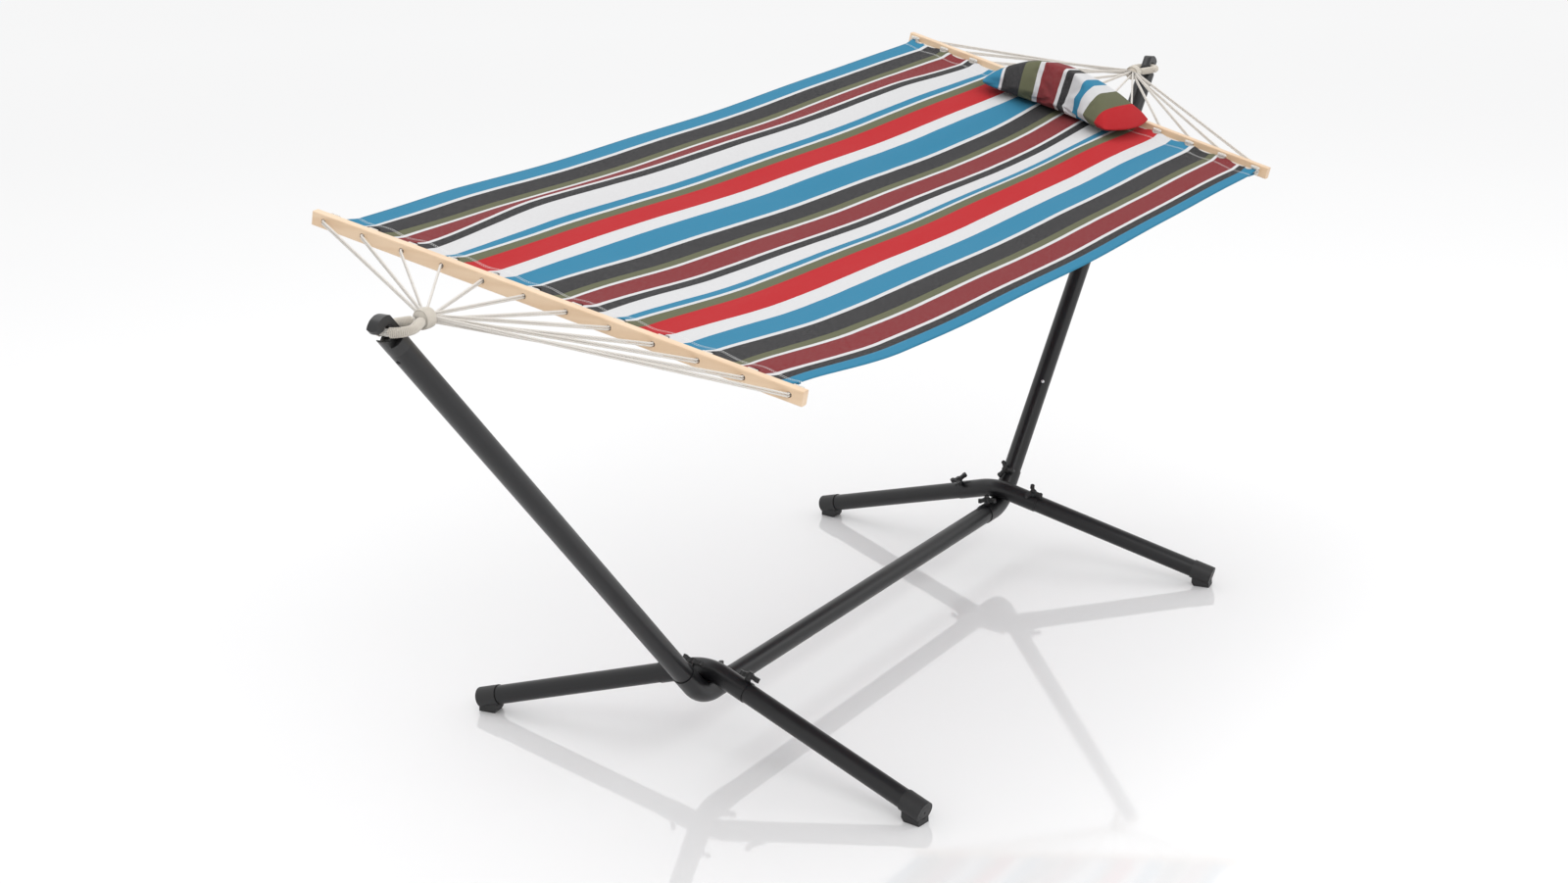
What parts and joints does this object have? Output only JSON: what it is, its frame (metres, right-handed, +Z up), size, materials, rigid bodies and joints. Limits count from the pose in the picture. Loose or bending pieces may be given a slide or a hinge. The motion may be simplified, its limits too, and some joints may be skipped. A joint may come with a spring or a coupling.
{
  "type": "hammock on stand",
  "caption": "Striped cloth hammock with wooden spreader bars, fanned cord harness and pillow, hung from the hooks of a black knock-down steel tube stand.",
  "frame": {"origin": "on the floor under the middle of the base rail, at the bottom centre of the bounding box", "axes": "+X along the hammock from its foot end to its pillow end, +Y to the left side, +Z up"},
  "size_m": [3.5162, 1.2618, 1.386],
  "materials": {
    "coated_steel": "satin black powder coat",
    "black_plastic": "fine-grained black plastic",
    "hook_plastic": "moulded black plastic with a soft gloss",
    "zinc_steel": "zinc-plated steel",
    "cotton_cord": "natural off-white braided cotton",
    "pine": "light pine, clear satin varnish",
    "striped_cloth": "woven cotton with lengthwise stripes in blue, charcoal, olive, red and white",
    "pillow_cloth": "the bed's striped cotton, filled"
  },
  "bodies": {
    "stand": {"hub_front": "coated_steel", "hub_back": "coated_steel", "post_front": "coated_steel", "post_back": "coated_steel", "base_rail": "coated_steel", "leg_front_left": "coated_steel", "leg_front_right": "coated_steel", "leg_back_left": "coated_steel", "leg_back_right": "coated_steel", "foot_front_left": "black_plastic", "foot_front_right": "black_plastic", "foot_back_left": "black_plastic", "foot_back_right": "black_plastic", "foot_discs": "black_plastic", "hook_front": "hook_plastic", "hook_back": "hook_plastic", "hook_screws": "zinc_steel", "post_plugs": "zinc_steel", "ring_front": "cotton_cord", "ring_back": "cotton_cord", "whipping_front": "cotton_cord", "whipping_back": "cotton_cord"},
    "hammock": {"collar_front": "cotton_cord", "collar_back": "cotton_cord", "strings_front": "cotton_cord", "strings_back": "cotton_cord", "bar_front": "pine", "bar_back": "pine", "hem_cord_front": "cotton_cord", "hem_cord_back": "cotton_cord", "bed_cloth": "striped_cloth"},
    "pillow": {"pillow": "pillow_cloth"},
    "wing_front_post": {"wing_front_post": "black_plastic"},
    "wing_front_rail": {"wing_front_rail": "black_plastic"},
    "wing_front_left": {"wing_front_left": "black_plastic"},
    "wing_front_right": {"wing_front_right": "black_plastic"},
    "wing_back_post": {"wing_back_post": "black_plastic"},
    "wing_back_rail": {"wing_back_rail": "black_plastic"},
    "wing_back_left": {"wing_back_left": "black_plastic"},
    "wing_back_right": {"wing_back_right": "black_plastic"}
  },
  "joints": [
    {"name": "hammock_swing", "type": "hinge", "parent": "stand", "child": "hammock", "pos_m": [0, 0, 1.2568], "axis": [1, 0, 0], "range_deg": [-48, 22]},
    {"name": "pillow_lift", "type": "slide", "parent": "hammock", "child": "pillow", "axis": [0, -0.252, 0.9677], "range_m": [0, 0.25]},
    {"name": "wing_front_post_turn", "type": "hinge", "parent": "stand", "child": "wing_front_post", "pos_m": [-0.78592, 0, 0.24502], "axis": [0.7547, 0, 0.6561], "range_deg": [0, 360]},
    {"name": "wing_front_rail_turn", "type": "hinge", "parent": "stand", "child": "wing_front_rail", "pos_m": [-0.673, 0, 0.189], "axis": [0, 0, 1], "range_deg": [0, 360]},
    {"name": "wing_front_left_turn", "type": "hinge", "parent": "stand", "child": "wing_front_left", "pos_m": [-0.72623, 0.11804, 0.21312], "axis": [0.3944, 0.309, 0.8654], "range_deg": [0, 360]},
    {"name": "wing_front_right_turn", "type": "hinge", "parent": "stand", "child": "wing_front_right", "pos_m": [-0.72623, -0.11804, 0.21312], "axis": [0.3944, -0.309, 0.8654], "range_deg": [0, 360]},
    {"name": "wing_back_post_turn", "type": "hinge", "parent": "stand", "child": "wing_back_post", "pos_m": [0.78592, 0, 0.24502], "axis": [-0.7547, 0, 0.6561], "range_deg": [0, 360]},
    {"name": "wing_back_rail_turn", "type": "hinge", "parent": "stand", "child": "wing_back_rail", "pos_m": [0.673, 0, 0.189], "axis": [0, 0, 1], "range_deg": [0, 360]},
    {"name": "wing_back_left_turn", "type": "hinge", "parent": "stand", "child": "wing_back_left", "pos_m": [0.72623, 0.11804, 0.21312], "axis": [-0.3944, 0.309, 0.8654], "range_deg": [0, 360]},
    {"name": "wing_back_right_turn", "type": "hinge", "parent": "stand", "child": "wing_back_right", "pos_m": [0.72623, -0.11804, 0.21312], "axis": [-0.3944, -0.309, 0.8654], "range_deg": [0, 360]}
  ]
}
